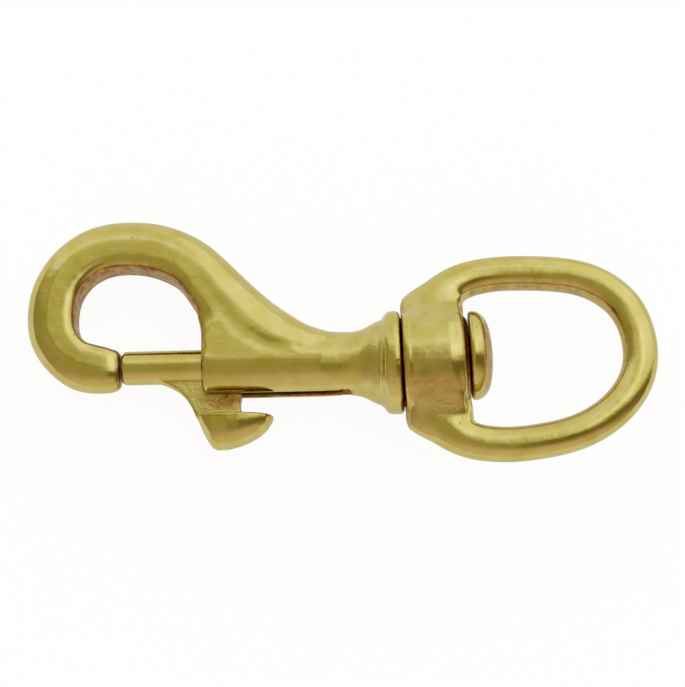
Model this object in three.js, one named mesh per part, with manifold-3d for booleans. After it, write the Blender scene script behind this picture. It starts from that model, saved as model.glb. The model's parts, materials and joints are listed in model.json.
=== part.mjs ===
// Bolt snap with a swivel eye, cast in solid brass.
//
// Millimetres, +Z up. The snap lies on its side as it comes to rest, with its hook towards -X and its
// eye towards +X. The pieces are drawn in the barrel's own frame and then laid down together: X runs
// along the barrel towards the eye, with 0 at the flange's rear face, and the hook stands in the XY plane
// with its throat facing -Y.

import * as THREE from 'three';
import { ConvexGeometry } from 'three/addons/geometries/ConvexGeometry.js';
import { ParametricGeometry } from 'three/addons/geometries/ParametricGeometry.js';
import { mergeVertices } from 'three/addons/utils/BufferGeometryUtils.js';
import Module from 'manifold-3d';

// ---- Driving dimensions -----------------------------------------------------------------------------

// Clearances
const TIP_GAP = 0.15; // bolt tip to nose
const SPRING_GAP = 0.3; // spring to what it bears on
const SLIDE_FIT = 0.35; // bolt in its bore and lever in its slot, on each side
const SWIVEL_FIT = 0.35; // spigot in the collar, on the radius
const END_PLAY = 0.3; // flange to collar
const HEAD_PLAY = 0.5; // collar to head
const RUNNING_PLAY = 0.12; // left beside the raised faces that take the thrust

// Barrel, neck and flange
const BARREL_LENGTH = 27.85; // front face to the flange's rear face
const BARREL_R = 4.65;
const BARREL_EDGE = 0.8; // rounding of the front edge
const NECK_R = 4.5;
const FLARE_LENGTH = 8.0; // neck to the flange's rear face
const FLANGE_R = 7.28;
const FLANGE_BEAD = 1.2; // half of the rounded rim's length
const THRUST_R = 6.9; // raised face on the flange's rear
const PILOT_R = 6.1; // ring on it that runs in a recess of the collar
const PILOT_LENGTH = 0.6; // from the flange's rear face
const RECESS_SPARE = 0.2; // depth of that recess beyond the ring
const FACED_LENGTH = 0.7; // each side of its rear face, turned square to the eye
const EDGE_BREAK = 0.3; // small corner taken off turned edges
const BORE_FLOOR = 4.6; // metal left behind the bore

// Bolt and thumb lever
const BOLT_R = 2.4;
const BOLT_TRAVEL = 11.5;
const TIP_STANDOUT = 0.1; // tip ahead of the barrel when pulled right back
const TIP_CHAMFER = 0.8;
const BOLT_GUIDE = 8.7; // length inside the barrel when shut
const LEVER_WEB = 2.3; // thickness of the neck in the slot
const WEB_LENGTH = 5.45; // of the neck behind the barrel's front face
const WEB_AHEAD = 6.45; // barrel's front face to where the neck's fillet begins
const SLOT_SPARE = 2.5; // slot left behind the neck at full travel
const PAD_DROP = 7.4; // barrel's axis to the pad's rim
const PAD_DEPTH = 4.65;
const PAD_LENGTH = 10.6;
const PAD_WIDTH = 6.8;
const PAD_AHEAD = 0.75; // barrel's front face to the pad's front edge
const PAD_CROWN = 0.09; // rise of the pad's top, as a share of its depth

// Spring
const WIRE_R = 0.2;
const TURNS = 6.5;

// Hook
const LOOP_AHEAD = 8.8; // barrel's front face to the loop's centre
const LOOP_RISE = 6.5; // barrel's axis to the loop's centre
const LOOP_HIGH = 11.1; // loop's centre to the middle of the bar, at the top
const LOOP_LONG = 13.3; // the same, at the far end
const BAR_WIDTH = 7.3;
const BAR_DEPTH = 6.3;
const NOSE_WIDTH = 6.3;
const ROOT_LENGTH = 20.0; // over which the bar runs down into the barrel
const HOOK_WEB = 8.5; // thickness of the web between the loop and the barrel
const HOOK_WEB_THINNING = 0.02; // share of it lost for each millimetre towards the loop

// Swivel
const SPIGOT_R = 3.0;
const HEAD_R = 6.3;
const HEAD_RIM = 0.7; // straight edge of the head
const HEAD_ROUND = 3.8; // rounding of its outer edge, on the radius
const HEAD_DOME = 2.2; // the same, along the axis
const HEAD_CROWN = 0.3;
const HEAD_OFFSET = 0.75; // the peened head sits off the spigot's axis

// Eye
const COLLAR_R = 7.4;
const COLLAR_LENGTH = 8.9;
const COLLAR_EDGE = 0.9; // rounding of the front edge
const COLLAR_REAR_EDGE = 1.7; // length of the softer rounding at the rear
const COLLAR_REAR_ROUND = 1.6; // the same, on the radius
const BEARING_R = 5.9; // raised face on the collar's rear, under the head
const BOW_R = 2.45;
const BOW_HALF_WIDTH = 12.6; // axis to the middle of an arm
const BOW_LENGTH = 33.3; // collar's front face to the middle of the bow's end
const BOW_WIDEST = 16.7; // collar's front face to where the bow is widest
const BOW_FULLNESS = 0.84; // power that squares the bow's end on the +Y side, 1 being a plain ellipse
const SHOULDER = 3.1; // half width of an arm where it leaves the collar
const SHOULDER_RISE = 7.6; // axis to the corner of that shoulder
const SHOULDER_DEPTH = 2.9; // half thickness of the shoulder

// How it lies
const LIE_ROLL = 5.05; // degrees the hook's top is turned down about the barrel
const LIE_PITCH = 3.55; // degrees the barrel rises towards the eye
const EYE_ROLL = 4; // degrees the eye is turned on its swivel, beyond the body
const EYE_CANT = 2.0; // degrees the eye hangs out of line in its loose swivel

// Fineness
const ROUND = 32; // facets of a full turn
const BAR_FACETS = 20; // round a bar's section

// ---- Places worked out from them --------------------------------------------------------------------

const FRONT_X = -BARREL_LENGTH;
const BORE_R = BOLT_R + SLIDE_FIT;
const TIP_X = FRONT_X - BOLT_TRAVEL - TIP_STANDOUT;
const NOSE_X = TIP_X - TIP_GAP;
const BOLT_REAR_X = FRONT_X + BOLT_GUIDE;
const WEB_REAR_X = FRONT_X + WEB_LENGTH;
const SLOT_END_X = WEB_REAR_X + BOLT_TRAVEL + SLOT_SPARE;
const LOOP_X = FRONT_X - LOOP_AHEAD;
const COLLAR_X = END_PLAY;
const COLLAR_REAR_X = COLLAR_X + COLLAR_LENGTH;
const COLLAR_MIDDLE_X = COLLAR_X + COLLAR_LENGTH / 2;
const HEAD_X = COLLAR_REAR_X + HEAD_PLAY;

const wasm = await Module();
wasm.setup();

// ---- Solids -----------------------------------------------------------------------------------------

// A closed mesh as a solid that can be joined and cut.
function solid(geometry) {
  const bare = geometry.clone();
  bare.deleteAttribute('normal');
  bare.deleteAttribute('uv');
  const merged = mergeVertices(bare, 1e-4);
  const corners = merged.index.array;
  const kept = [];
  for (let i = 0; i < corners.length; i += 3) {
    const [a, b, c] = [corners[i], corners[i + 1], corners[i + 2]];
    if (a !== b && b !== c && c !== a) kept.push(a, b, c);
  }
  return new wasm.Manifold(new wasm.Mesh({
    numProp: 3,
    vertProperties: new Float32Array(merged.attributes.position.array),
    triVerts: new Uint32Array(kept),
  }));
}

// A solid as a named mesh.
function piece(name, body, material) {
  const { vertProperties, triVerts } = body.getMesh();
  const geometry = new THREE.BufferGeometry();
  geometry.setAttribute('position', new THREE.BufferAttribute(new Float32Array(vertProperties), 3));
  geometry.setIndex(new THREE.BufferAttribute(new Uint32Array(triVerts), 1));
  geometry.computeVertexNormals();
  const mesh = new THREE.Mesh(geometry, material);
  mesh.name = name;
  return mesh;
}

// A profile of [x, radius] points, from one end of the axis to the other, turned about X.
function turned(profile) {
  const points = profile.map(([x, r]) => new THREE.Vector2(r, x));
  return new THREE.LatheGeometry(points, ROUND).rotateZ(-Math.PI / 2);
}

// A side view in XY made into a plate, centred on z = 0.
function plate(shape, thickness) {
  const options = { depth: thickness, bevelEnabled: false, curveSegments: 8 };
  return new THREE.ExtrudeGeometry(shape, options).translate(0, 0, -thickness / 2);
}

// A block with flat faces, stretched over points of [x, y, half depth].
function block(points) {
  const corners = [];
  for (const [x, y, z] of points) corners.push(new THREE.Vector3(x, y, z), new THREE.Vector3(x, y, -z));
  return new ConvexGeometry(corners);
}

// Sections of a bar, from the cosine and sine of a turn: [out to the left of the way it runs, up].
const round = (c, s) => [c, s];
const boxedInside = (c, s) => {
  const box = 0.38; // power that makes a round section nearly square
  return c < 0 ? [-(Math.abs(c) ** box), Math.sign(s) * Math.abs(s) ** box] : [c, s];
};
const flatTopped = (c, s) => [c > 0 ? c * PAD_CROWN : c, s];

// A bar swept along stations of [x, y, half width, half depth] in the XY plane, with the given section.
function bar(stations, steps, section) {
  const places = stations.map(([x, y]) => new THREE.Vector3(x, y, 0));
  const sections = stations.map(([, , w, d]) => new THREE.Vector3(w, d, 0));
  const middle = new THREE.CatmullRomCurve3(places, false, 'centripetal');
  const size = new THREE.CatmullRomCurve3(sections, false, 'catmullrom');
  const rows = steps + 2; // a row at each end closes it
  return new ParametricGeometry((u, v, target) => {
    const row = Math.round(v * rows);
    const t = Math.min(Math.max(row - 1, 0), steps) / steps;
    const centre = middle.getPoint(t);
    const along = middle.getTangent(t);
    const { x: width, y: depth } = size.getPoint(t);
    const open = row === 0 || row === rows ? 0 : 1;
    const angle = Math.round(u * BAR_FACETS) % BAR_FACETS * 2 * Math.PI / BAR_FACETS;
    const [left, up] = section(Math.cos(angle), Math.sin(angle));
    const out = open * width * left;
    target.set(centre.x - along.y * out, centre.y + along.x * out, open * depth * up);
  }, BAR_FACETS, rows);
}

// A quarter of an ellipse of [x, radius] points, from the axis side outwards or back.
function quarter(x, r, dx, dr, from, to, count) {
  const points = [];
  for (let i = 0; i <= count; i++) {
    const angle = THREE.MathUtils.degToRad(from + (to - from) * i / count);
    points.push([x + dx * Math.cos(angle), r + dr * Math.sin(angle)]);
  }
  return points;
}

// ---- Snap body --------------------------------------------------------------------------------------

// Barrel, neck, flange and spigot, turned about the barrel's axis. The flange is faced square to the eye.
function barrel() {
  const rim = FLANGE_R - FLANGE_BEAD;
  const geometry = turned([
    [FRONT_X, 0],
    ...quarter(FRONT_X + BARREL_EDGE, BARREL_R - BARREL_EDGE, BARREL_EDGE, BARREL_EDGE, 180, 90, 4),
    [-FLARE_LENGTH - 3, BARREL_R],
    [-FLARE_LENGTH, NECK_R],
    [-FLARE_LENGTH * 0.7, NECK_R + (rim - NECK_R) * 0.12],
    [-FLARE_LENGTH * 0.5, NECK_R + (rim - NECK_R) * 0.62],
    [-2 * FLANGE_BEAD - 0.5, rim - 0.2],
    ...quarter(-FLANGE_BEAD, rim, FLANGE_BEAD, FLANGE_BEAD, 170, 90, 3),
    [-EDGE_BREAK, FLANGE_R],
    [0, FLANGE_R - EDGE_BREAK],
    [0, THRUST_R],
    [END_PLAY - RUNNING_PLAY, THRUST_R],
    [END_PLAY - RUNNING_PLAY, PILOT_R],
    [PILOT_LENGTH, PILOT_R],
    [PILOT_LENGTH, SPIGOT_R],
    [HEAD_X + HEAD_RIM, SPIGOT_R],
    [HEAD_X + HEAD_RIM, 0],
  ]);
  const { position } = geometry.attributes;
  const lean = Math.tan(THREE.MathUtils.degToRad(EYE_CANT));
  for (let i = 0; i < position.count; i++) {
    if (Math.abs(position.getX(i)) > FACED_LENGTH) continue;
    position.setX(i, position.getX(i) - position.getY(i) * lean);
  }
  return geometry;
}

// The spigot's end, peened over inside the eye into a domed head that is square to the eye.
function head() {
  return turned([
    [0, 0],
    [0, HEAD_R - EDGE_BREAK],
    [EDGE_BREAK, HEAD_R],
    ...quarter(HEAD_RIM, HEAD_R - HEAD_ROUND, HEAD_DOME, HEAD_ROUND, 90, 10, 5),
    [HEAD_RIM + HEAD_DOME + HEAD_CROWN, 0],
  ]).rotateZ(THREE.MathUtils.degToRad(EYE_CANT)).translate(HEAD_X, HEAD_OFFSET, 0);
}

// A place on the middle line of the loop, [x, y], at an angle in degrees from +X.
function onLoop(angle, radius) {
  const turn = THREE.MathUtils.degToRad(angle);
  return [LOOP_X + radius * Math.cos(turn), LOOP_RISE + radius * Math.sin(turn)];
}

// The hook's bar, from its nose round the loop and down into the barrel.
function hook() {
  const w = BAR_WIDTH / 2;
  const d = BAR_DEPTH / 2;
  return bar([
    [NOSE_X, -0.35, NOSE_WIDTH / 2 - 0.9, d - 1.05],
    [NOSE_X - 0.35, -0.35, NOSE_WIDTH / 2 - 0.5, d - 0.7],
    [NOSE_X - 0.9, -0.37, NOSE_WIDTH / 2 - 0.3, d - 0.45],
    [NOSE_X - 1.7, -0.4, NOSE_WIDTH / 2 - 0.05, d - 0.3],
    [...onLoop(-140, LOOP_LONG - 3.25), w - 0.25, d - 0.1],
    [...onLoop(-151, LOOP_LONG - 2.05), w - 0.35, d],
    [...onLoop(-166, LOOP_LONG - 0.95), w - 0.25, d],
    [...onLoop(180, LOOP_LONG - 0.4), w - 0.1, d],
    [...onLoop(160, LOOP_LONG), w - 0.1, d],
    [...onLoop(140, LOOP_LONG - 0.1), w - 0.1, d],
    [...onLoop(120, LOOP_LONG - 0.7), w, d],
    [...onLoop(100, LOOP_HIGH + 0.5), w, d],
    [...onLoop(80, LOOP_HIGH), w + 0.05, d + 0.2],
    [...onLoop(60, LOOP_HIGH - 0.15), w + 0.05, d + 0.55],
    [...onLoop(42, LOOP_HIGH), w + 0.1, d + 0.85],
    [FRONT_X + ROOT_LENGTH * 0.17, LOOP_RISE + 2.55, BARREL_R - 0.25, BARREL_R - 0.4],
    [FRONT_X + ROOT_LENGTH * 0.36, LOOP_RISE * 0.777, BARREL_R + 0.15, BARREL_R - 0.2],
    [FRONT_X + ROOT_LENGTH * 0.595, LOOP_RISE * 0.34, BARREL_R - 0.1, BARREL_R - 0.1],
    [FRONT_X + ROOT_LENGTH * 0.835, LOOP_RISE * 0.23, BARREL_R - 1.25, BARREL_R - 0.45],
    [FRONT_X + ROOT_LENGTH, LOOP_RISE * 0.2, BARREL_R - 1.85, BARREL_R - 1.15],
  ], 54, boxedInside);
}

// The web that fills the corner between the loop and the barrel, its front edge in line with the barrel's.
function hookWeb() {
  const shape = new THREE.Shape();
  shape.moveTo(FRONT_X, -1);
  shape.lineTo(FRONT_X, 2.4);
  shape.quadraticCurveTo(FRONT_X, LOOP_RISE - 1.9, FRONT_X - 0.8, LOOP_RISE + 0.6);
  shape.lineTo(FRONT_X + 1, LOOP_RISE + 3);
  shape.lineTo(FRONT_X + ROOT_LENGTH * 0.25, LOOP_RISE + 1.5);
  shape.lineTo(FRONT_X + ROOT_LENGTH * 0.45, LOOP_RISE - 2.5);
  shape.lineTo(FRONT_X + ROOT_LENGTH * 0.6, 0.8);
  shape.lineTo(FRONT_X + ROOT_LENGTH * 0.6, -1);
  shape.closePath();
  const web = plate(shape, HOOK_WEB);
  const { position } = web.attributes;
  for (let i = 0; i < position.count; i++) {
    const thinning = HOOK_WEB_THINNING * Math.max(position.getY(i) - 2, 0);
    position.setZ(i, position.getZ(i) * (1 - thinning));
  }
  return web;
}

// The gentle slope from the barrel's crest down to that web.
function ramp() {
  const crest = BARREL_R - 0.02;
  return block([
    [FRONT_X + 0.7, -1.2, crest - 0.23],
    [FRONT_X + 0.8, 0, crest],
    [FRONT_X + ROOT_LENGTH * 0.7, 0.8, crest],
    [FRONT_X + ROOT_LENGTH * 0.7, -1.2, crest - 0.23],
    [FRONT_X + 0.4, LOOP_RISE - 1.9, HOOK_WEB / 2 + 0.05],
    [FRONT_X + ROOT_LENGTH * 0.1, LOOP_RISE + 1, HOOK_WEB / 2],
    [FRONT_X + ROOT_LENGTH * 0.35, LOOP_RISE - 1, HOOK_WEB / 2 + 0.15],
  ]);
}

// The throat that the bolt shuts: the nose ends square to the bolt at its edge.
function throat() {
  const width = FRONT_X - NOSE_X;
  const height = 3 * BARREL_R;
  const top = BOLT_R + SLIDE_FIT;
  return new THREE.BoxGeometry(width, height, height).translate(NOSE_X + width / 2, top - height / 2, 0);
}

// The blind bore for the bolt and its spring.
function bore() {
  return turned([
    [FRONT_X - 1, 0],
    [FRONT_X - 1, BORE_R],
    [-BORE_FLOOR, BORE_R],
    [-BORE_FLOOR, 0],
  ]);
}

// The slot that the lever's neck runs in, open at the barrel's front and slanted at its rear end.
function slot() {
  const below = -BARREL_R - 1;
  const shape = new THREE.Shape();
  shape.moveTo(FRONT_X - 1, 0);
  shape.lineTo(SLOT_END_X - 0.5, 0);
  shape.lineTo(SLOT_END_X, -BORE_R);
  shape.lineTo(SLOT_END_X + (BARREL_R + 1 - BORE_R), below);
  shape.lineTo(FRONT_X - 1, below);
  shape.closePath();
  return plate(shape, LEVER_WEB + 2 * SLIDE_FIT);
}

function snapBody() {
  return solid(barrel())
    .add(solid(head()))
    .add(solid(hook()))
    .add(solid(hookWeb()))
    .add(solid(ramp()))
    .subtract(solid(throat()))
    .subtract(solid(bore()))
    .subtract(solid(slot()));
}

// ---- Thumb bolt -------------------------------------------------------------------------------------

function rod() {
  return turned([
    [TIP_X, 0],
    [TIP_X, BOLT_R - TIP_CHAMFER],
    [TIP_X + TIP_CHAMFER * 0.35, BOLT_R - TIP_CHAMFER * 0.35],
    [TIP_X + TIP_CHAMFER, BOLT_R],
    [BOLT_REAR_X - EDGE_BREAK, BOLT_R],
    [BOLT_REAR_X, BOLT_R - EDGE_BREAK],
    [BOLT_REAR_X, 0],
  ]);
}

// The lever's neck: a plate that leaves the rod ahead of the barrel in a long fillet and carries the pad.
function web() {
  const low = -PAD_DROP - PAD_DEPTH / 3;
  const start = FRONT_X - WEB_AHEAD;
  const edge = FRONT_X - PAD_AHEAD;
  const shape = new THREE.Shape();
  shape.moveTo(start, -BOLT_R + 0.4);
  shape.lineTo(start, -BOLT_R + 0.1);
  shape.bezierCurveTo(start + 2.4, -BOLT_R - 0.2, edge - 1.6, -BOLT_R - 1.5, edge - 0.1, -PAD_DROP - 0.2);
  shape.lineTo(edge + 0.8, low);
  shape.lineTo(WEB_REAR_X, low);
  shape.lineTo(WEB_REAR_X, 0);
  shape.lineTo(start + 1.7, 0);
  shape.closePath();
  return plate(shape, LEVER_WEB);
}

// The thumb pad, shaped like half an egg: nearly flat on top, blunt in front and pointed behind.
function pad() {
  const front = FRONT_X - PAD_AHEAD;
  const width = PAD_WIDTH / 2;
  const y = -PAD_DROP;
  return bar([
    [front, y, PAD_DEPTH * 0.05, width * 0.5],
    [front + PAD_LENGTH * 0.03, y, PAD_DEPTH * 0.26, width * 0.65],
    [front + PAD_LENGTH * 0.085, y, PAD_DEPTH * 0.53, width * 0.78],
    [front + PAD_LENGTH * 0.14, y, PAD_DEPTH * 0.75, width * 0.87],
    [front + PAD_LENGTH * 0.2, y, PAD_DEPTH * 0.93, width * 0.94],
    [front + PAD_LENGTH * 0.265, y, PAD_DEPTH, width * 0.985],
    [front + PAD_LENGTH * 0.4, y, PAD_DEPTH * 0.99, width],
    [front + PAD_LENGTH * 0.57, y, PAD_DEPTH * 0.9, width * 0.97],
    [front + PAD_LENGTH * 0.69, y, PAD_DEPTH * 0.785, width * 0.93],
    [front + PAD_LENGTH * 0.82, y, PAD_DEPTH * 0.615, width * 0.81],
    [front + PAD_LENGTH * 0.915, y, PAD_DEPTH * 0.425, width * 0.62],
    [front + PAD_LENGTH * 0.97, y, PAD_DEPTH * 0.235, width * 0.38],
    [front + PAD_LENGTH, y, PAD_DEPTH * 0.1, width * 0.18],
  ], 26, flatTopped);
}

function thumbBolt() {
  return solid(rod()).add(solid(web())).add(solid(pad()));
}

// ---- Spring -----------------------------------------------------------------------------------------

class Helix extends THREE.Curve {
  constructor(radius, start, end, turns) {
    super();
    Object.assign(this, { radius, start, end, turns });
  }

  getPoint(t, target = new THREE.Vector3()) {
    const angle = t * this.turns * 2 * Math.PI;
    const x = this.start + (this.end - this.start) * t;
    return target.set(x, this.radius * Math.cos(angle), this.radius * Math.sin(angle));
  }
}

// The compression spring, between the bolt's rear end and the bore's floor.
function spring() {
  const off = SPRING_GAP + WIRE_R;
  const path = new Helix(BORE_R - SLIDE_FIT - WIRE_R, BOLT_REAR_X + off, -BORE_FLOOR - off, TURNS);
  const wire = new THREE.Shape();
  wire.absarc(0, 0, WIRE_R, 0, 2 * Math.PI);
  const options = { steps: TURNS * 14, curveSegments: 3, extrudePath: path };
  return solid(new THREE.ExtrudeGeometry(wire, options));
}

// ---- Swivel eye -------------------------------------------------------------------------------------

// The collar, with the raised face that the head bears on.
function collar() {
  const edge = COLLAR_REAR_X - COLLAR_REAR_EDGE;
  const bearing = COLLAR_REAR_X + HEAD_PLAY - RUNNING_PLAY;
  return turned([
    [COLLAR_X, 0],
    ...quarter(COLLAR_X + COLLAR_EDGE, COLLAR_R - COLLAR_EDGE, COLLAR_EDGE, COLLAR_EDGE, 180, 90, 3),
    ...quarter(edge, COLLAR_R - COLLAR_REAR_ROUND, COLLAR_REAR_EDGE, COLLAR_REAR_ROUND, 90, 10, 4),
    [COLLAR_REAR_X, BEARING_R],
    [bearing, BEARING_R],
    [bearing, 0],
  ]);
}

// The thick root where an arm leaves the collar, on the side of the given sign: outline, then crest.
function shoulder(side) {
  const rise = SHOULDER_RISE;
  const thin = SHOULDER_DEPTH - 1.5; // half thickness at the outline
  const rear = COLLAR_REAR_X + (side > 0 ? 0 : 0.6);
  const points = [
    [COLLAR_X, rise - 4.6, SHOULDER_DEPTH - 0.7],
    [COLLAR_X, rise, thin],
    [COLLAR_X + 0.25, rise + 1.8, thin],
    [COLLAR_X + 1.55, rise + 2.8, thin],
    [COLLAR_X + 3.75, rise + 4.1, thin],
    [COLLAR_X + 5.55, rise + 4.8, thin],
    [COLLAR_X + 7.15, rise + 4.4, thin],
    [COLLAR_REAR_X, rise + 2.4, thin],
    [rear, rise + 0.8, thin],
    [rear - 0.1, rise - 0.2, thin],
    [COLLAR_REAR_X - 0.08, rise - 2.4, thin],
    [COLLAR_REAR_X - 0.08, rise - 4.6, thin],
    [COLLAR_X + 1.3, rise - 4.6, SHOULDER_DEPTH],
    [COLLAR_X + 1.3, rise, SHOULDER_DEPTH],
    [COLLAR_X + 3.7, rise + 1.8, SHOULDER_DEPTH - 0.05],
    [COLLAR_X + 5.7, rise + 3.0, SHOULDER_DEPTH - 0.15],
    [COLLAR_REAR_X - 1.5, rise + 2.0, SHOULDER_DEPTH - 0.2],
    [COLLAR_REAR_X - 1.5, rise - 4.6, SHOULDER_DEPTH],
  ];
  return block(points.map(([x, y, z]) => [x, side * y, z]));
}

// The slope that runs from the collar's round side down to that shoulder.
function fillet(side) {
  const points = [];
  for (const [x, drop] of [[1.3, 0.5], [2.5, 0], [COLLAR_LENGTH - 1.8, 0], [COLLAR_LENGTH - 0.6, 0.5]]) {
    points.push([COLLAR_X + x, side * (SHOULDER_RISE - 4.6), SHOULDER_DEPTH]);
    points.push([COLLAR_X + x, side * (SHOULDER_RISE - 3.2), SHOULDER_DEPTH * 2 - drop]);
    points.push([COLLAR_X + x, side * (SHOULDER_RISE + 0.8), SHOULDER_DEPTH - 0.05 - drop]);
  }
  return block(points);
}

// Stations from the collar's middle up one arm to the end of the bow.
function armStations(fullness) {
  const wide = COLLAR_X + BOW_WIDEST;
  const stations = [
    [COLLAR_X + 3.5, SHOULDER_RISE - 4.4, SHOULDER, SHOULDER_DEPTH - 0.1],
    [COLLAR_X + 3.5, SHOULDER_RISE - 1.9, SHOULDER, SHOULDER_DEPTH - 0.1],
    [COLLAR_X + 4.0, SHOULDER_RISE + 0.2, SHOULDER - 0.1, SHOULDER_DEPTH - 0.1],
    [COLLAR_X + 5.9, BOW_HALF_WIDTH - 2.7, SHOULDER - 0.3, SHOULDER_DEPTH - 0.1],
    [COLLAR_X + 8.9, BOW_HALF_WIDTH - 0.85, BOW_R + 0.1, BOW_R + 0.15],
    [COLLAR_X + 12.6, BOW_HALF_WIDTH - 0.05, BOW_R, BOW_R],
  ];
  for (const angle of [90, 66, 44, 22, 0]) {
    const turn = THREE.MathUtils.degToRad(angle);
    const x = wide + (BOW_LENGTH + COLLAR_X - wide) * Math.cos(turn) ** fullness;
    stations.push([x, BOW_HALF_WIDTH * Math.sin(turn) ** fullness, BOW_R, BOW_R]);
  }
  return stations;
}

function bow() {
  const other = armStations(1).slice(0, -1).reverse().map(([x, y, w, d]) => [x, -y, w, d]);
  return bar([...armStations(BOW_FULLNESS), ...other], 64, round);
}

function swivelEye() {
  const beyond = new THREE.BoxGeometry(20, 60, 60).translate(COLLAR_X - 10, 0, 0);
  const hole = turned([
    [COLLAR_X - 1, 0],
    [COLLAR_X - 1, PILOT_R + SWIVEL_FIT],
    [PILOT_LENGTH + RECESS_SPARE, PILOT_R + SWIVEL_FIT],
    [PILOT_LENGTH + RECESS_SPARE, SPIGOT_R + SWIVEL_FIT],
    [COLLAR_REAR_X + 1, SPIGOT_R + SWIVEL_FIT],
    [COLLAR_REAR_X + 1, 0],
  ]);
  return solid(collar())
    .add(solid(bow()))
    .add(solid(shoulder(1)))
    .add(solid(shoulder(-1)))
    .add(solid(fillet(1)))
    .add(solid(fillet(-1)))
    .subtract(solid(beyond))
    .subtract(solid(hole));
}

// ---- Assembly ---------------------------------------------------------------------------------------

const brass = new THREE.MeshStandardMaterial({ color: 0xb9a14c, roughness: 0.28, metalness: 1 });
const rough = new THREE.MeshStandardMaterial({ color: 0xab9040, roughness: 0.4, metalness: 1 });
const steel = new THREE.MeshStandardMaterial({ color: 0x8f9296, roughness: 0.35, metalness: 1 });

const { degToRad } = THREE.MathUtils;

// The eye, turned on its swivel and hanging a little out of line about the middle of its collar.
const eye = new THREE.Group();
const eyeMesh = piece('swivel_eye', swivelEye(), brass);
eyeMesh.position.x = -COLLAR_MIDDLE_X;
eye.add(eyeMesh);
eye.position.x = COLLAR_MIDDLE_X;
eye.rotation.set(degToRad(-EYE_ROLL), 0, degToRad(EYE_CANT), 'ZXY');

// The snap, laid down on the flange, the collar and the hook's far end.
const snap = new THREE.Group();
snap.add(piece('snap_body', snapBody(), brass));
snap.add(piece('thumb_bolt', thumbBolt(), rough));
snap.add(piece('bolt_spring', spring(), steel));
snap.add(eye);
snap.rotation.set(degToRad(-LIE_ROLL), degToRad(-LIE_PITCH), 0, 'YXZ');

// It stands on z = 0 with the middle of its box over the origin.
const box = new THREE.Box3().setFromObject(snap, true);
const middle = box.getCenter(new THREE.Vector3());
snap.position.set(-middle.x, -middle.y, -box.min.z);

const group = new THREE.Group();
group.add(snap);

export default group;
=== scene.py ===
# A bolt snap with a swivel eye, cast in solid brass, lying on its side on a pale floor.
import json
import math

import bpy
from mathutils import Matrix, Vector


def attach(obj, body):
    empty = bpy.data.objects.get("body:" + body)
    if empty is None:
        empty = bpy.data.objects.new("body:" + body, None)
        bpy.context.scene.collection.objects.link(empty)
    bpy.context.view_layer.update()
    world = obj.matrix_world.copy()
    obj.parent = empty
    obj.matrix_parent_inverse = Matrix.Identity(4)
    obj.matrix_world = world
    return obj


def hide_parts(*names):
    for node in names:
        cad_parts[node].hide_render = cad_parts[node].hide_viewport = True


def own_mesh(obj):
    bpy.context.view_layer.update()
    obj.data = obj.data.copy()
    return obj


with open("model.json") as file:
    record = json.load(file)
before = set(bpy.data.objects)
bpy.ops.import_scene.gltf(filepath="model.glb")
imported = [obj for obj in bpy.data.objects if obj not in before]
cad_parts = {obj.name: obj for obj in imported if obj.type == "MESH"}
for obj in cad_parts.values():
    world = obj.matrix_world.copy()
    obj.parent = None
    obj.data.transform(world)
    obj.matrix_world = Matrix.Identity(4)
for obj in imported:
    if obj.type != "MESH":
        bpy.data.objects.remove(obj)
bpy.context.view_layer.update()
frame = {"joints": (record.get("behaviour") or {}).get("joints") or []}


# ---- Snap body --------------------------------------------------------------------------------------
# The barrel, its flange and the hook are one casting in solid brass, tumbled and buffed to a soft shine.
# The bore and the slot are machined, and the spigot is peened over inside the eye to hold it.

# It is modelled in millimetres along the barrel: x runs to the eye, with 0 at the flange's rear face, and
# y to the hook's back. lay_down turns that into metres on the floor, where the frame has it.
bolt_slide, swivel_spin = frame["joints"]
roll = math.radians(5.05)  # the hook's top rests lower than the barrel
pitch = math.radians(3.55)  # the eye's end lies higher than the hook's
collar_middle = 4.75
lie = Matrix.Rotation(-pitch, 4, "Y") @ Matrix.Rotation(-roll, 4, "X")
spot = Vector(swivel_spin["pos_m"]) * 1000 - lie @ Vector((collar_middle, 0, 0))
barrel_frame = Matrix.Scale(0.001, 4) @ Matrix.Translation(spot) @ lie

front = -27.85  # barrel's front face
nose = -39.6  # end of the hook, beside the bolt's tip
barrel_radius, barrel_edge = 4.65, 0.8
flange_radius, flange_edge = 7.28, 1.2
spigot_radius = 3.0
bore_radius, bore_floor = 2.75, -4.6
slot_width = 3.0
head_seat, head_shift = 9.7, 0.75  # the head was peened a little off the spigot's axis
eye_cant = math.radians(2)  # the eye hangs out of line by this
full_turn = 2 * math.pi


def outward():
    """Ends the editing of a mesh, with all its normals turned outward."""
    bpy.ops.mesh.select_all(action="SELECT")
    bpy.ops.mesh.normals_make_consistent(inside=False)
    bpy.ops.object.mode_set(mode="OBJECT")


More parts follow.
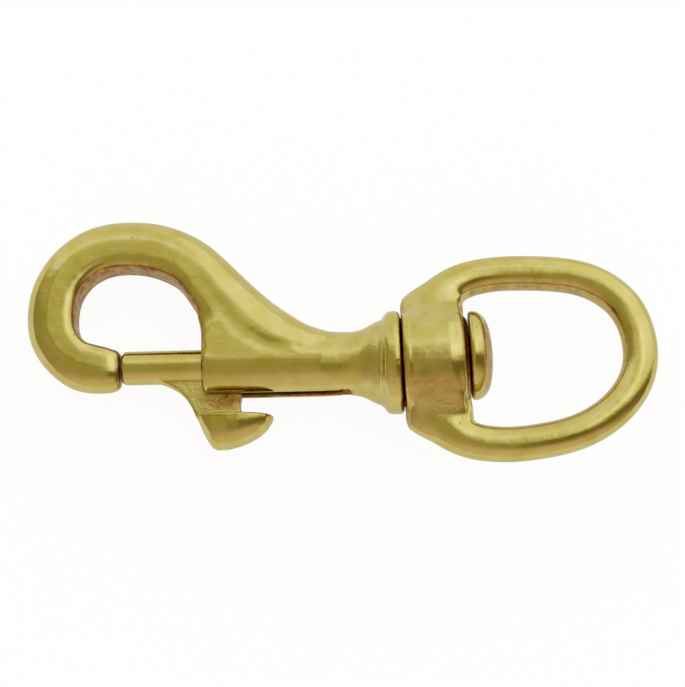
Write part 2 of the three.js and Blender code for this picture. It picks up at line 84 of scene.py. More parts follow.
def drawn(stations, sides=64, squared=0.0):
    """A round bar along X by stations of [x, half width, half height]. squared boxes in its -Y half."""
    x, width, height = stations[0]
    facing_x = (0, full_turn / 4, 0)
    bpy.ops.mesh.primitive_circle_add(vertices=sides, radius=1, fill_type="NGON", rotation=facing_x)
    bar = bpy.context.object
    bpy.ops.object.transform_apply(location=False)
    for corner in bar.data.vertices:
        y, z = corner.co.y, corner.co.z
        if y < 0:
            corner.co.y = -(abs(y) ** (1 - squared))
            corner.co.z = math.copysign(abs(z) ** (1 - squared), z)
    bpy.ops.object.mode_set(mode="EDIT")
    bpy.ops.mesh.select_all(action="SELECT")
    bpy.ops.transform.resize(value=(1, width, height), center_override=(0, 0, 0))
    bpy.ops.transform.translate(value=(x, 0, 0))
    for next_x, next_width, next_height in stations[1:]:
        bpy.ops.mesh.extrude_region_move(TRANSFORM_OT_translate={"value": (next_x - x, 0, 0)})
        grow = (1, next_width / width, next_height / height)
        bpy.ops.transform.resize(value=grow, center_override=(next_x, 0, 0))
        x, width, height = next_x, next_width, next_height
    outward()
    return bar


def turned(profile):
    """A turned shape about X through a profile of [x, radius]."""
    return drawn([[x, radius, radius] for x, radius in profile])


def rounded(x, radius, edge, first, last=90, steps=6):
    """Profile points round a corner of a turned shape, from one angle to another about its middle."""
    turns = [math.radians(first + (last - first) * step / steps) for step in range(steps + 1)]
    return [[x + edge * math.cos(turn), radius + edge * math.sin(turn)] for turn in turns]


def evened(way, passes=20):
    """The stations, each one drawn towards its neighbours, which evens out the curvature."""
    for _ in range(passes):
        way = [way[0], *((a + 2 * b + c) / 4 for a, b, c in zip(way, way[1:], way[2:])), way[-1]]
    return way


def smooth_way(stations, steps=8):
    """Close stations on a smooth curve by the given ones, each [x, y, half width, half height]."""
    points = [Vector(station) for station in stations]
    slopes = []
    for i, point in enumerate(points):
        before, after = points[max(i - 1, 0)], points[min(i + 1, len(points) - 1)]
        slopes.append((after - before) / max((after - before).to_2d().length, 1e-6))
    way = []
    for a, b, slope_a, slope_b in zip(points, points[1:], slopes, slopes[1:]):
        reach = (b - a).to_2d().length
        for step in range(steps):
            t = step / steps
            way.append(a * (1 + 2 * t) * (1 - t) ** 2 + b * t * t * (3 - 2 * t)
                       + slope_a * reach * t * (1 - t) ** 2 - slope_b * reach * t * t * (1 - t))
    way.append(points[-1])
    even = evened(way)
    # Evening draws a curve inward. Most of what it took away is given back.
    lost = evened([station - middle for station, middle in zip(way, even)])
    return [middle + rest for middle, rest in zip(even, lost)]


def bent(stations, squared, sides=40):
    """A bar extruded along a curve in XY, by stations of [x, y, half width, half height]."""
    way = smooth_way(stations)
    x, y, width, height = way[0]
    heading = math.atan2(way[1].y - y, way[1].x - x)
    bar = drawn([[0, width, height]], sides, squared)
    bpy.ops.object.mode_set(mode="EDIT")
    bpy.ops.transform.rotate(value=-heading, orient_axis="Z", center_override=(0, 0, 0))
    bpy.ops.transform.translate(value=(x, y, 0))
    for i, station in enumerate(way[1:], 1):
        next_x, next_y, next_width, next_height = station
        ahead, behind = way[min(i + 1, len(way) - 1)], way[i - 1]
        next_heading = math.atan2(ahead.y - behind.y, ahead.x - behind.x)
        bpy.ops.mesh.extrude_region_move(TRANSFORM_OT_translate={"value": (next_x - x, next_y - y, 0)})
        centre = (next_x, next_y, 0)
        bpy.ops.transform.rotate(value=heading - next_heading, orient_axis="Z", center_override=centre)
        grow = (next_width / width, next_width / width, next_height / height)
        bpy.ops.transform.resize(value=grow, center_override=centre)
        x, y, width, height, heading = next_x, next_y, next_width, next_height, next_heading
    outward()
    return bar


def relaxed(piece, smoothing, zone=""):
    """Smooths the piece, or only as much of it as its vertex group covers."""
    soft = piece.modifiers.new("soft", "SMOOTH")
    soft.iterations = smoothing
    soft.vertex_group = zone
    bpy.context.view_layer.objects.active = piece
    bpy.ops.object.modifier_apply(modifier="soft")


def fused(piece, voxel, smoothing):
    """One skin over all of a piece's solids, with the soft corners that casting and tumbling leave."""
    skin = piece.modifiers.new("skin", "REMESH")
    skin.mode = "VOXEL"
    skin.voxel_size = voxel
    bpy.ops.object.modifier_apply(modifier="skin")
    relaxed(piece, smoothing)
    return piece


def worked(piece, tool, operation):
    """Adds another solid to the piece, or takes it out of the piece."""
    step = piece.modifiers.new("step", "BOOLEAN")
    step.operation = operation
    step.object = tool
    step.solver = "MANIFOLD"
    bpy.context.view_layer.objects.active = piece
    bpy.ops.object.modifier_apply(modifier="step")
    bpy.data.objects.remove(tool)


def softened(block, rounding):
    """The block with its edges rounded over."""
    bevel = block.modifiers.new("bevel", "BEVEL")
    bevel.width = rounding
    bevel.segments = 4
    bevel.limit_method = "ANGLE"
    bevel.angle_limit = math.radians(8)
    bpy.ops.object.modifier_apply(modifier="bevel")
    return block


def plate(outline, thickness):
    """A flat plate in XY, centred on z = 0, from the corners of its outline."""
    bpy.ops.mesh.primitive_circle_add(vertices=len(outline), radius=1, fill_type="NGON")
    sheet = bpy.context.object
    for corner, (x, y) in zip(sheet.data.vertices, outline):
        corner.co = (x, y, -thickness / 2)
    bpy.ops.object.mode_set(mode="EDIT")
    bpy.ops.mesh.select_all(action="SELECT")
    bpy.ops.mesh.extrude_region_move(TRANSFORM_OT_translate={"value": (0, 0, thickness)})
    outward()
    return sheet


def hull(points):
    """A block with flat faces, stretched over points of [x, y, half height]."""
    bpy.ops.mesh.primitive_circle_add(vertices=2 * len(points), radius=1)
    block = bpy.context.object
    corners = [(x, y, side * height) for x, y, height in points for side in (1, -1)]
    for vertex, corner in zip(block.data.vertices, corners):
        vertex.co = corner
    bpy.ops.object.mode_set(mode="EDIT")
    bpy.ops.mesh.select_all(action="SELECT")
    bpy.ops.mesh.convex_hull()
    outward()
    return block


def lay_down(piece, place):
    """Puts the piece where it lies, in metres, with its object left at the origin."""
    bpy.ops.object.select_all(action="DESELECT")
    piece.select_set(True)
    bpy.context.view_layer.objects.active = piece
    piece.matrix_world = place
    bpy.ops.object.transform_apply(location=True, rotation=True, scale=True)
    bpy.ops.object.shade_smooth()


barrel = turned([
    *rounded(front + barrel_edge, barrel_radius - barrel_edge, barrel_edge, first=180),
    [-11.0, barrel_radius], [-9.4, 4.57], [-8.0, 4.5], [-6.8, 4.5], [-5.6, 4.7], [-4.8, 5.05], [-4.0, 5.5],
    [-3.4, 5.8], [-2.9, 5.95],
    *rounded(-flange_edge, flange_radius - flange_edge, flange_edge, first=165),
    [-0.3, flange_radius], [-0.1, 7.2], [0, 7.0], [0, 6.9], [0.18, 6.9], [0.18, 6.1], [0.6, 6.1],
    [0.6, spigot_radius],
])
for corner in barrel.data.vertices:
    if corner.co.x > -0.7:
        corner.co.x -= corner.co.y * math.tan(eye_cant)  # the flange is faced square to the eye
spigot = turned([[-1, spigot_radius], [10.4, spigot_radius]])
head = turned([
    [0, 5.9], [0.1, 6.22], [0.3, 6.3], [0.7, 6.3], [1.15, 6.2], [1.7, 5.9], [2.2, 5.35], [2.6, 4.6],
    [2.85, 3.7], [3.05, 2.6], [3.15, 1.6], [3.2, 0.6],
])
head.location = (head_seat, head_shift, 0)
head.rotation_euler.z = eye_cant
loop_x, loop_y = front - 8.8, 6.5


def on_loop(angle, radius):
    """A place on the hook's middle line, at an angle from +X about the loop's centre."""
    turn = math.radians(angle)
    return loop_x + radius * math.cos(turn), loop_y + radius * math.sin(turn)


hook = bent([
    (nose, -0.35, 2.25, 2.1),
    (nose - 0.35, -0.35, 2.65, 2.45),
    (nose - 0.9, -0.37, 2.85, 2.7),
    (nose - 1.7, -0.4, 3.1, 2.85),
    (*on_loop(-140, 10.05), 3.4, 3.05),
    (*on_loop(-151, 11.25), 3.3, 3.15),
    (*on_loop(-166, 12.35), 3.4, 3.15),
    (*on_loop(180, 12.9), 3.55, 3.15),
    (*on_loop(160, 13.3), 3.55, 3.15),
    (*on_loop(140, 13.2), 3.55, 3.15),
    (*on_loop(120, 12.6), 3.65, 3.15),
    (*on_loop(100, 11.6), 3.65, 3.15),
    (*on_loop(80, 11.1), 3.7, 3.35),
    (*on_loop(60, 10.95), 3.7, 3.7),
    (*on_loop(42, 11.1), 3.75, 4.0),
    (front + 3.4, loop_y + 2.55, 4.4, 4.25),
    (front + 7.2, 5.05, 4.8, 4.45),
    (front + 11.9, 2.21, 4.55, 4.55),
    (front + 16.7, 1.5, 3.4, 4.2),
    (front + 20.0, 1.3, 2.8, 3.5),
], squared=0.6, sides=48)
web_of_hook = softened(plate([
    (front, -1.0), (front + 0.02, 1.5), (front, 3.0), (front - 0.1, 4.4), (front - 0.35, 5.7),
    (front - 0.8, 7.0), (front + 1.0, 9.5), (front + 5.0, 8.0),
    (front + 9.0, 4.0), (front + 12.0, 0.8), (front + 12.0, -1.0),
], thickness=8.5), rounding=0.5)
for corner in web_of_hook.data.vertices:
    corner.co.z *= 1 - 0.02 * max(corner.co.y - 2.0, 0)  # it thins towards the loop, as the bar does
root = hull([
    (front + 0.7, -1.2, 4.4), (front + 0.8, 0.0, 4.63), (front + 14.0, 0.8, 4.62), (front + 14.0, -1.2, 4.4),
    (front + 0.4, 4.6, 4.3), (front + 2.0, 7.5, 4.25), (front + 7.0, 5.5, 4.4),
])
snap_body = barrel
snap_body.name = snap_body.data.name = "snap_body_casting"
for part in (spigot, head, hook, web_of_hook, root):
    worked(snap_body, part, "UNION")
throat = plate([(nose, 2.7), (nose, -12), (front, -12), (front, 2.7)], thickness=14)
bore = turned([[front - 1, bore_radius], [bore_floor, bore_radius]])
slot = plate([(front - 1, 0), (-8.9, 0), (-8.4, -2.75), (-5.5, -5.65), (front - 1, -5.65)], slot_width)
for tool in (throat, bore, slot):
    worked(snap_body, tool, "DIFFERENCE")
fused(snap_body, voxel=0.21, smoothing=6)


def melted(piece, smoothing, rule):
    """Smooths a crease into its surroundings, as far as the rule gives each place, from 0 to 1."""
    zone = piece.vertex_groups.new(name="zone")
    for vertex in piece.data.vertices:
        weight = min(rule(vertex.co), 1)
        if weight > 0:
            zone.add([vertex.index], weight, "REPLACE")
    relaxed(piece, smoothing, zone.name)
    piece.vertex_groups.clear()


def marked(piece, name, rule):
    """Gives each vertex a value from 0 to 1 under the name, by a rule of its place and its normal."""
    field = piece.data.attributes.new(name, "FLOAT", "POINT")
    for vertex, mark in zip(piece.data.vertices, field.data):
        mark.value = min(max(rule(vertex.co, vertex.normal), 0), 1)


def near(value, middle, reach):
    """1 at the middle, falling evenly to 0 at the reach on either side."""
    return max(1 - abs(value - middle) / reach, 0)


def pressed(piece, depth, width, line):
    """Presses a soft valley into both faces along a line of [x, y] corners, fading out at its two ends."""
    face = 2  # both faces are further than this from the middle plane
    fade = 2.5 * width
    corners = [Vector(corner) for corner in line]
    for vertex in piece.data.vertices:
        if abs(vertex.co.z) < face:
            continue
        here = vertex.co.to_2d()
        away = width
        for a, b in zip(corners, corners[1:]):
            t = min(max((here - a).dot(b - a) / (b - a).length_squared, 0), 1)
            away = min(away, (here - a.lerp(b, t)).length)
        if away < width:
            to_end = min((here - corners[0]).length, (here - corners[-1]).length)
            sink = depth * min(to_end / fade, 1)
            vertex.co.z -= math.copysign(sink * math.cos(away / width * math.pi / 2) ** 2, vertex.co.z)


# The bar stays a little proud of the web beside it, so a faint valley runs between them.
valley = [(-29.6, 13.6), (-26.3, 9.1), (-22.4, 4.2), (-18.8, 2.0), (-13.0, 0.9)]
pressed(snap_body, depth=0.08, width=1.7, line=valley)
# Inside the loop, the web runs into the bar without a crease.
melted(snap_body, 60, lambda p: 2 * near(p.x, front - 0.2, 3.4) * near(p.y, 6.9, 4.0))


def body_brown_and_painted_shade(p, n):
    """Orange-brown on the loop's inner wall; painted shade in the bore and slot, at the hook's end, the
    barrel's front, round the collar and on the head's end.
    """
    inward = Vector((loop_x - p.x, loop_y - p.y, 0))
    wall = 0
    if p.x < front + 0.3 and p.y > 0.8 and inward.length < 11:
        wall = (n.dot(inward.normalized()) - 0.45) * 2.2
    # Painted shade in the bore and slot, on the faces beside the gaps, inside the collar and on the head's
    # end.
    inside_barrel = math.hypot(p.y, p.z) < 4.45
    in_slot = 1 if front < p.x < -4 and p.y < 0 and inside_barrel else 0
    end_of_hook = 3 * n.x - 1.2 if nose - 0.6 < p.x < nose + 0.1 and p.y < 3.5 else 0
    front_face = -1.2 * n.x - 0.5 if front - 0.4 < p.x < front + 0.5 and p.y < 4 else 0
    in_collar = 1 if 0.02 < p.x < 9.4 else 0
    at_flange, under_head = -0.7 < p.x < 0.4, p.x > 9.2 and n.x < 0
    rims = 2 * abs(n.x) - 1 if at_flange or under_head else 0
    end_of_head = near(n.x, 1.0, 0.4) if p.x > 9.6 else 0
    return max(wall, in_slot, end_of_hook, front_face, in_collar, rims, end_of_head)


def body_grain(p, n):
    """The neck's side and the flare in front of the flange keep some of the grain they were cast with."""
    neck = 0.7 * near(p.x, -6.6, 2.6) * near(p.y, -1.2, 2.4)
    flare = 0.5 * near(p.x, -4.0, 3.0)
    return max(neck, flare)


marked(snap_body, "brown_and_painted_shade", body_brown_and_painted_shade)
marked(snap_body, "as_cast", body_grain)
lay_down(snap_body, barrel_frame)


def linear(colour):
    """An sRGB hex colour as the linear RGBA that a node takes."""
    parts = [int(colour[i:i + 2], 16) / 255 for i in (1, 3, 5)]
    return [*[c / 12.92 if c <= 0.04045 else ((c + 0.055) / 1.055) ** 2.4 for c in parts], 1]


def node(tree, kind, links=None, **settings):
    """Adds a node with its settings. links gives each input's value, or the output that feeds it."""
    made = tree.nodes.new(kind)
    for setting, value in settings.items():
        setattr(made, setting, value)
    for place, value in (links or {}).items():
        if isinstance(value, bpy.types.NodeSocket):
            tree.links.new(value, made.inputs[place])
        else:
            made.inputs[place].default_value = value
    return made


def colour_ramp(tree, factor, stops):
    """A colour ramp over a factor, through stops of (position, sRGB hex colour)."""
    made = node(tree, "ShaderNodeValToRGB", {"Fac": factor})
    elements = made.color_ramp.elements
    while len(elements) < len(stops):
        elements.new(0.5)
    for element, (position, colour) in zip(elements, stops):
        element.position = position
        element.color = linear(colour)
    return made


# Yellow brass, buffed. It is near mirror bright on the crowns, with a satin bloom and faint waves from the
# buffing wheel. Inner walls and pits are orange-brown. The same colour is painted shade in the bore, the
# slot, the hole and the gaps between parts. Some crevices keep the grain of the sand mould.
polished_brass = bpy.data.materials.new("polished_brass")
polished_brass.use_nodes = True
tree = polished_brass.node_tree
shader = tree.nodes["Principled BSDF"]
shader.inputs["Metallic"].default_value = 1
place = node(tree, "ShaderNodeTexCoord").outputs["Object"]
in_millimetres = (1000, 1000, 1000)
millimetres = node(tree, "ShaderNodeMapping", {"Vector": place, "Scale": in_millimetres}).outputs["Vector"]
mottle = node(tree, "ShaderNodeTexNoise", {
    "Vector": millimetres, "Scale": 0.35, "Detail": 3, "Roughness": 0.55})
tone = colour_ramp(tree, mottle.outputs["Fac"], [(0.35, "#D4C570"), (0.65, "#DED08A")])
patches = node(tree, "ShaderNodeTexNoise", {
    "Vector": millimetres, "Scale": 0.9, "Detail": 4, "Roughness": 0.6})
# Orange-brown for the inner walls and pits, and as painted shade in the bore, the slot, the hole and the
# gaps.
brown_and_shade_tone = colour_ramp(tree, patches.outputs["Fac"], [(0.38, "#985E24"), (0.64, "#C69A50")])
brown_and_painted_shade = node(tree, "ShaderNodeAttribute", attribute_name="brown_and_painted_shade").outputs["Fac"]
patchy = node(tree, "ShaderNodeMapRange", {
    "Value": patches.outputs["Fac"], "From Min": 0.35, "From Max": 0.65, "To Min": 1.0, "To Max": 0.72})
brown_shade_and_pits = node(tree, "ShaderNodeMath", {0: brown_and_painted_shade, 1: patchy.outputs["Result"]}, operation="MULTIPLY")
# Here and there the polishing has left a casting pit.
cells = node(tree, "ShaderNodeTexVoronoi", {"Vector": millimetres, "Scale": 0.55})
pit = node(tree, "ShaderNodeMapRange", {
    "Value": cells.outputs["Distance"], "From Min": 0.05, "From Max": 0.1, "To Min": 1.0, "To Max": 0.0})
chance = node(tree, "ShaderNodeMapRange", {
    "Value": patches.outputs["Fac"], "From Min": 0.56, "From Max": 0.6})
pitted = node(tree, "ShaderNodeMath", {0: pit.outputs["Result"], 1: chance.outputs["Result"]},
              operation="MULTIPLY")
brown_shade_and_pits = node(tree, "ShaderNodeMath", {0: brown_shade_and_pits.outputs[0], 1: pitted.outputs[0]}, operation="MAXIMUM")
colour = node(tree, "ShaderNodeMix", {
    "Factor": brown_shade_and_pits.outputs[0], 6: tone.outputs["Color"], 7: brown_and_shade_tone.outputs["Color"]}, data_type="RGBA")
tree.links.new(colour.outputs[2], shader.inputs["Base Color"])

as_cast = node(tree, "ShaderNodeAttribute", attribute_name="as_cast").outputs["Fac"]
bloom = node(tree, "ShaderNodeTexNoise", {"Vector": millimetres, "Scale": 0.6, "Detail": 4})
gloss = node(tree, "ShaderNodeMapRange", {
    "Value": bloom.outputs["Fac"], "From Min": 0.3, "From Max": 0.7, "To Min": 0.06, "To Max": 0.13})
dulled = node(tree, "ShaderNodeMath", {0: brown_and_painted_shade, 1: as_cast}, operation="MAXIMUM")
dulling = 0.2
rough = node(tree, "ShaderNodeMath", {0: dulled.outputs[0], 1: dulling, 2: gloss.outputs["Result"]},
             operation="MULTIPLY_ADD")
tree.links.new(rough.outputs[0], shader.inputs["Roughness"])

# The relief, as depths in metres: buffing waves and strokes, casting pits, scuffs and the mould's grain.
wave_depth, stroke_depth, pit_depth, scuff_depth, grain_depth = 0.00006, 0.0000045, 0.00004, 0.000002, 0.00012
wave = node(tree, "ShaderNodeTexNoise", {"Vector": millimetres, "Scale": 0.45, "Detail": 2})
buffing = node(tree, "ShaderNodeBump", {"Height": wave.outputs["Fac"], "Distance": wave_depth})
along_the_snap = node(tree, "ShaderNodeMapping", {"Vector": place, "Scale": (160, 2600, 1300)})
strokes = node(tree, "ShaderNodeTexNoise", {
    "Vector": along_the_snap.outputs["Vector"], "Scale": 1.0, "Detail": 3, "Roughness": 0.6})
lined = node(tree, "ShaderNodeBump", {
    "Height": strokes.outputs["Fac"], "Distance": stroke_depth, "Normal": buffing.outputs["Normal"]})
sunk = node(tree, "ShaderNodeBump", {
    "Height": pitted.outputs[0], "Distance": pit_depth, "Normal": lined.outputs["Normal"]}, invert=True)
fine = node(tree, "ShaderNodeTexNoise", {"Vector": millimetres, "Scale": 4.0, "Detail": 3})
scuffs = node(tree, "ShaderNodeBump", {
    "Height": fine.outputs["Fac"], "Distance": scuff_depth, "Normal": sunk.outputs["Normal"]})
sand = node(tree, "ShaderNodeTexNoise", {"Vector": millimetres, "Scale": 2.6, "Detail": 3, "Roughness": 0.6})
grain = node(tree, "ShaderNodeBump", {
    "Height": sand.outputs["Fac"], "Distance": grain_depth, "Strength": as_cast,
    "Normal": scuffs.outputs["Normal"]})
tree.links.new(grain.outputs["Normal"], shader.inputs["Normal"])


def made_of(piece, material):
    """Gives the piece its one material, in place of the empty slots that joining solids left."""
    piece.data.materials.clear()
    piece.data.materials.append(material)


made_of(snap_body, polished_brass)
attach(snap_body, "snap")
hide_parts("snap_body")


# ---- Thumb bolt -------------------------------------------------------------------------------------
# The bolt and its thumb lever are one small casting. The rod is turned and polished, the neck that runs in
# the slot is left as cast, and the pad is buffed by hand.

rod = turned([*rounded(nose + 0.85, 1.7, 0.7, first=180), [-19.45, 2.4], [-19.15, 2.1]])
web = plate([
    (-34.3, -1.9), (-33.8, -2.35), (-32.6, -2.8), (-31.2, -3.65), (-30.2, -4.7), (-29.6, -5.7), (-29.1, -6.7),
    (-28.7, -7.6), (-27.8, -9.0), (-22.4, -9.0), (-22.4, -7.0), (-22.6, -6.2), (-22.6, -5.2), (-22.4, -4.4),
    (-22.4, 0), (-32.6, 0),
], thickness=2.3)
pad = drawn([
    [-28.6, 0.2, 1.7], [-28.25, 1.2, 2.2], [-27.7, 2.45, 2.65], [-27.1, 3.5, 2.95], [-26.5, 4.35, 3.2],
    [-25.8, 4.65, 3.35], [-24.3, 4.6, 3.4], [-22.6, 4.17, 3.3], [-21.3, 3.65, 3.15], [-19.9, 2.87, 2.75],
    [-18.9, 1.98, 2.1], [-18.3, 1.1, 1.3], [-18.0, 0.5, 0.6],
])
pad_top = -7.4
pad_crown = 0.09
for corner in pad.data.vertices:
    if corner.co.y > 0:
        corner.co.y *= pad_crown  # the top is nearly flat, with a rounded rim
pad.location.y = pad_top
thumb_bolt = rod
thumb_bolt.name = thumb_bolt.data.name = "thumb_bolt_casting"
for part in (web, pad):
    worked(thumb_bolt, part, "UNION")
fused(thumb_bolt, voxel=0.15, smoothing=6)


def lever_painted_shade(p, n):
    """Painted shade, in brown, in the fillet under the barrel, round the neck's foot and on the bolt's tip.
    """
    # All three marks are painted shade.
    tip = -1.5 * n.x - 0.5 if p.x < nose + 0.8 else 0
    fillet = 1.5 * near(p.y, -5.2, 1.8) * near(p.x, front + 3.2, 4.5)
    foot = 0.5 * near(p.y, pad_top + 0.3, 1.0)
    return max(tip, fillet, foot)


def lever_grain(p, n):
    """The neck between the rod and the pad is left as cast."""
    return 1.5 * near(p.y, -4.6, 2.9) if p.x > -34.4 else 0


marked(thumb_bolt, "brown_and_painted_shade", lever_painted_shade)
marked(thumb_bolt, "as_cast", lever_grain)
lay_down(thumb_bolt, barrel_frame)

lever_brass = polished_brass.copy()
lever_brass.name = "lever_brass"
made_of(thumb_bolt, lever_brass)
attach(thumb_bolt, "bolt")
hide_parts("thumb_bolt")


# ---- Spring -----------------------------------------------------------------------------------------
# A compression spring of drawn steel wire, dropped into the bore behind the bolt. It is seen only through
# the slot.

wire_radius, wire_sides, coil_radius = 0.2, 12, 2.2
spring_front, spring_back = -18.65, -5.1
coils, coil_steps = 6.5, 200
bpy.ops.mesh.primitive_circle_add(
    vertices=wire_sides, radius=wire_radius, location=(spring_front, coil_radius, 0))
spring = bpy.context.object
bpy.ops.object.transform_apply(location=True)
coil = spring.modifiers.new("coil", "SCREW")
coil.axis = "X"
coil.angle = coils * full_turn
coil.screw_offset = spring_back - spring_front
coil.steps = coil.render_steps = coil_steps
bpy.ops.object.modifier_apply(modifier="coil")
bpy.ops.object.mode_set(mode="EDIT")
bpy.ops.mesh.select_all(action="SELECT")
bpy.ops.mesh.fill_holes(sides=wire_sides)
outward()
spring.name = spring.data.name = "compression_spring"
lay_down(spring, barrel_frame)

spring_steel = bpy.data.materials.new("spring_steel")
spring_steel.use_nodes = True
tree = spring_steel.node_tree
shader = tree.nodes["Principled BSDF"]
shader.inputs["Metallic"].default_value = 1
shader.inputs["Base Color"].default_value = linear("#9A9CA0")
place = node(tree, "ShaderNodeTexCoord").outputs["Object"]
drawn_marks = node(tree, "ShaderNodeTexNoise", {"Vector": place, "Scale": 900, "Detail": 2})
gloss = node(tree, "ShaderNodeMapRange", {
    "Value": drawn_marks.outputs["Fac"], "From Min": 0.3, "From Max": 0.7, "To Min": 0.28, "To Max": 0.42})
tree.links.new(gloss.outputs["Result"], shader.inputs["Roughness"])
made_of(spring, spring_steel)
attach(spring, "snap")
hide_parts("bolt_spring")
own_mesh(spring)


# ---- Swivel eye -------------------------------------------------------------------------------------
# A collar and a D-shaped bow, cast in one piece of the same brass. The spigot runs through the collar's
# hole with play, so the eye turns freely and hangs a little out of line.

eye_roll = math.radians(4)
pivot = Vector((collar_middle, 0, 0))
turn_eye = Matrix.Rotation(eye_cant, 4, "Z") @ Matrix.Rotation(-eye_roll, 4, "X")
eye_frame = barrel_frame @ Matrix.Translation(pivot) @ turn_eye @ Matrix.Translation(-pivot)

collar_front, collar_rear = 0.3, 9.2
collar = turned([
    *rounded(collar_front + 0.9, 6.5, 0.9, first=180),
    [collar_rear - 1.7, 7.4], [collar_rear - 1.2, 7.34], [collar_rear - 0.8, 7.18],
    [collar_rear - 0.45, 6.93], [collar_rear - 0.2, 6.6], [collar_rear - 0.05, 6.2], [collar_rear, 5.8],
])
bearing = turned([[collar_middle, 5.9], [collar_rear + 0.3, 5.9], [collar_rear + 0.38, 5.8]])
bow_bar = 2.45
bow_start, bow_reach, bow_half = 17.0, 16.6, 12.57
arm = [
    (3.8, 3.2, 3.1, 2.8), (3.8, 5.7, 3.1, 2.8), (4.3, 7.8, 3.0, 2.8), (6.2, 9.9, 2.8, 2.8),
    (9.2, 11.75, 2.55, 2.6), (12.9, 12.52, bow_bar, bow_bar),
]
# The bow's +Y quarter is fuller than an ellipse, and the other one is a plain ellipse.
fuller_quarter = [(angle, 1, 0.84) for angle in (90, 66, 44, 22, 0)]
plain_quarter = [(angle, -1, 1) for angle in (22, 44, 66, 90)]
arch = []
for angle, side, power in fuller_quarter + plain_quarter:
    across, along = math.sin(math.radians(angle)) ** power, math.cos(math.radians(angle)) ** power
    arch.append((bow_start + bow_reach * along, bow_half * side * across, bow_bar, bow_bar))
bow = bent([*arm, *arch, *[(x, -y, width, height) for x, y, width, height in arm[::-1]]], squared=0.15)
shoulders = [fused(hull([
    (0.1, side * 3.0, 2.2), (0.1, side * 7.6, 1.4), (0.55, side * 9.4, 1.2), (1.85, side * 10.4, 1.2),
    (4.05, side * 11.7, 1.2), (5.85, side * 12.4, 1.2), (7.45, side * 12.0, 1.5), (9.2, side * 10.0, 1.6),
    (rear, side * 8.4, 1.6), (rear - 0.1, side * 7.4, 1.9), (9.12, side * 5.2, 2.0), (9.12, side * 3.0, 2.0),
    (1.6, side * 3.0, 3.0), (1.6, side * 7.6, 2.9), (3.95, side * 9.4, 2.85), (5.95, side * 10.6, 2.75),
    (7.7, side * 9.6, 2.7), (7.7, side * 3.0, 3.0),
]), voxel=0.35, smoothing=14) for side, rear in ((1, 9.2), (-1, 9.8))]
fillets = [hull([
    (x, side * y, height) for x, drop in ((1.6, 0.5), (2.8, 0), (7.4, 0), (8.6, 0.5))
    for y, height in ((3.0, 3.0), (4.4, 5.85 - drop), (8.4, 2.85 - drop))
]) for side in (1, -1)]
swivel_eye = collar
swivel_eye.name = swivel_eye.data.name = "swivel_eye_casting"
for part in (bearing, bow, *shoulders, *fillets):
    worked(swivel_eye, part, "UNION")
beyond = plate([(-20, -30), (collar_front, -30), (collar_front, 30), (-20, 30)], thickness=60)
hole = turned([[-1, 6.45], [0.8, 6.45], [0.8, 3.35], [12, 3.35]])
for tool in (beyond, hole):
    worked(swivel_eye, tool, "DIFFERENCE")
fused(swivel_eye, voxel=0.2, smoothing=8)
# The shoulders run into the collar and the arms without a crease.
melted(swivel_eye, 90, lambda p: 2 * near(abs(p.y), 9.0, 4.0) * near(p.x, 3.5, 4.7) if abs(p.z) > 1.2 else 0)
melted(swivel_eye, 50, lambda p: 2 * near(abs(p.y), 9.8, 3.6) * near(p.x, 9.2, 3.0))
# Dressing with a file left a flat lip at each end of the collar, and two faint lines along it.
rear_lip = [(10.3, -9.8), (9.3, -8.0), (8.4, -5.5), (7.9, -3.0), (7.7, 2.0), (7.7, 10.0)]
front_lip = [(1.7, -8.5), (1.7, 8.5)]
pressed(swivel_eye, depth=0.14, width=0.8, line=rear_lip)
pressed(swivel_eye, depth=0.07, width=0.8, line=front_lip)
for file_line in ([(0.9, 4.4), (8.6, 4.5)], [(0.9, 7.6), (8.6, 7.7)]):
    pressed(swivel_eye, depth=0.06, width=0.6, line=file_line)


def eye_brown_and_painted_shade(p, n):
    """Orange-brown along the inside of the bow, darker on the collar's lower side, and painted shade on the
    collar's two end faces and in its hole.
    """
    bow_from = 10.2
    from_axis = math.hypot(p.y, p.z)
    inside = 0
    if p.x > bow_from:
        inside = 0.9 * (n.dot(Vector((bow_start - p.x, -p.y, 0)).normalized()) - 0.35)
    # The hole and the collar's end faces get painted shade.
    in_hole = 1 if p.x < bow_from and from_axis < 6.5 else 0
    on_face = p.x < 0.9 or 8.5 < p.x < bow_from and from_axis < 7.6
    faces = 1.6 * abs(n.x) - 0.7 if on_face else 0
    lower_side = 0.45 * near(p.y, -5.0, 4.0) if 0.8 < p.x < 9 and p.z > 0 else 0
    return max(inside, in_hole, faces, lower_side)


def eye_grain(p, n):
    """The shoulders are only partly cleaned up after casting, and the lower one is rough near the collar."""
    upper = 0.3 * near(p.y, 9.4, 3.2) if p.x < 8 else 0
    lower = 2.4 * near(p.y, -7.8, 1.5) * near(p.x, 5.5, 3.8)
    return max(upper, lower)


marked(swivel_eye, "brown_and_painted_shade", eye_brown_and_painted_shade)
marked(swivel_eye, "as_cast", eye_grain)
lay_down(swivel_eye, eye_frame)
made_of(swivel_eye, polished_brass)
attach(swivel_eye, "eye")
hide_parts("swivel_eye")


# ---- Floor and light --------------------------------------------------------------------------------
# A plain white table that glows towards the camera, so that it stays white and takes only a faint shadow.
# Light comes from the room all round, and from a softbox at the back.

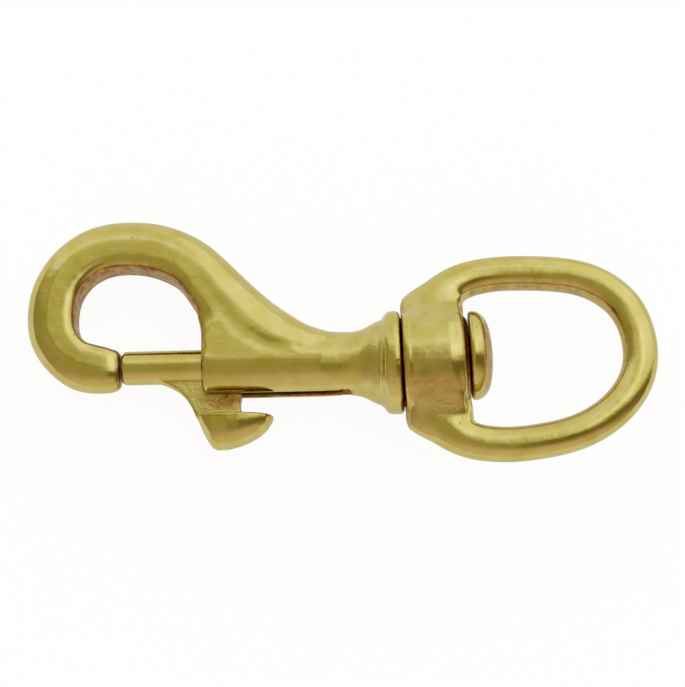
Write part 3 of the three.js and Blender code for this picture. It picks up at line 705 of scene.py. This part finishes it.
bpy.ops.mesh.primitive_plane_add(size=3)
floor = bpy.context.object
floor.name = "floor"
white_table = bpy.data.materials.new("white_table")
white_table.use_nodes = True
tree = white_table.node_tree
shader = tree.nodes["Principled BSDF"]
shader.inputs["Base Color"].default_value = linear("#F5F5F5")
shader.inputs["Roughness"].default_value = 0.8
glossy_share, glow_share = 0.5, 0.88
paths = node(tree, "ShaderNodeLightPath")
glossy = node(tree, "ShaderNodeMath", {0: paths.outputs["Is Glossy Ray"], 1: glossy_share},
              operation="MULTIPLY")
seen = node(tree, "ShaderNodeMath", {0: paths.outputs["Is Camera Ray"], 1: glossy.outputs[0]},
            operation="MAXIMUM")
share = node(tree, "ShaderNodeMath", {0: seen.outputs[0], 1: glow_share}, operation="MULTIPLY")
glow = node(tree, "ShaderNodeEmission", {"Color": (1, 1, 1, 1), "Strength": 1.06})
mix = node(tree, "ShaderNodeMixShader", {0: share.outputs[0], 1: shader.outputs[0], 2: glow.outputs[0]})
tree.links.new(mix.outputs[0], tree.nodes["Material Output"].inputs["Surface"])
floor.data.materials.append(white_table)

# The room has a broad cool window light at the back and a warm one in front. Between them is the dim strip
# of ceiling that the camera hangs from.
world = bpy.data.worlds.new("studio")
bpy.context.scene.world = world
world.use_nodes = True
tree = world.node_tree
direction = node(tree, "ShaderNodeTexCoord").outputs["Generated"]
strip_lean = math.radians(9.5)  # as far as the camera leans
across = node(tree, "ShaderNodeVectorMath", {
    0: direction, 1: (0, math.cos(strip_lean), math.sin(strip_lean))}, operation="DOT_PRODUCT")
front_to_back = node(tree, "ShaderNodeMapRange", {
    "Value": across.outputs["Value"], "From Min": -1.0, "From Max": 1.0})
# Each stop has its place from front to back, then the colour there in the room's west and east halves.
stops = [
    (0.00, "#E0CEB8", "#E0CEB8"), (0.07, "#D8C6AE", "#D8C6AE"), (0.20, "#CCBA9E", "#CCBA9E"),
    (0.28, "#BCAA8C", "#AA9874"), (0.36, "#B0A27C", "#86764A"), (0.44, "#B0A46C", "#7E703F"),
    (0.50, "#ACA064", "#84763F"), (0.55, "#ACA068", "#BAB07E"), (0.62, "#AEA672", "#F0F0E4"),
    (0.71, "#A8A066", "#F4F8FA"), (0.79, "#BEB882", "#FCFFFF"), (0.86, "#F0F2F0", "#FCFFFF"),
    (0.94, "#E6E4D0", "#F8FAF6"), (1.00, "#E0DCC2", "#F6F8F0"),
]
halves = []
for side in (1, 2):
    half = colour_ramp(tree, front_to_back.outputs["Result"], [(stop[0], stop[side]) for stop in stops])
    half.color_ramp.interpolation = "EASE"
    halves.append(half.outputs["Color"])
along = node(tree, "ShaderNodeSeparateXYZ", {"Vector": direction}).outputs["X"]
far_wall = node(tree, "ShaderNodeMapRange", {
    "Value": along, "From Min": -0.97, "From Max": -0.55, "To Min": 0.85, "To Max": 1.0})
east = node(tree, "ShaderNodeMapRange", {"Value": along, "From Min": -0.1, "From Max": 0.15})
sky = node(tree, "ShaderNodeMix", {
    "Factor": east.outputs["Result"], 6: halves[0], 7: halves[1]}, data_type="RGBA")
shaded = node(tree, "ShaderNodeVectorMath", {
    0: sky.outputs[2], "Scale": far_wall.outputs["Result"]}, operation="SCALE")
tree.links.new(shaded.outputs["Vector"], tree.nodes["Background"].inputs["Color"])

bpy.ops.object.light_add(type="AREA", location=(0.03, 0.16, 0.42))
back_softbox = bpy.context.object
back_softbox.name = "back_softbox"
back_softbox.data.shape = "RECTANGLE"
back_softbox.data.size, back_softbox.data.size_y = 0.5, 0.14
back_softbox.data.energy = 0.03
back_softbox.data.color = linear("#FAFFFF")[:3]
back_softbox.rotation_euler = (-back_softbox.location).to_track_quat("-Z", "Y").to_euler()


# ---- Camera -----------------------------------------------------------------------------------------
# Nearly straight above the snap, from 27 cm, through a long lens. It is turned a little, so that the snap
# lies level in the view.

bpy.ops.object.camera_add(location=(-0.00438, -0.04497, 0.27396))
camera = bpy.context.object
camera.rotation_euler = [math.radians(a) for a in (9.455, -0.871, -0.872)]
camera.data.sensor_width = 36
camera.data.lens = 100.5
camera.data.clip_start = 0.01
bpy.context.scene.camera = camera
bpy.context.scene.view_settings.view_transform = "Standard"
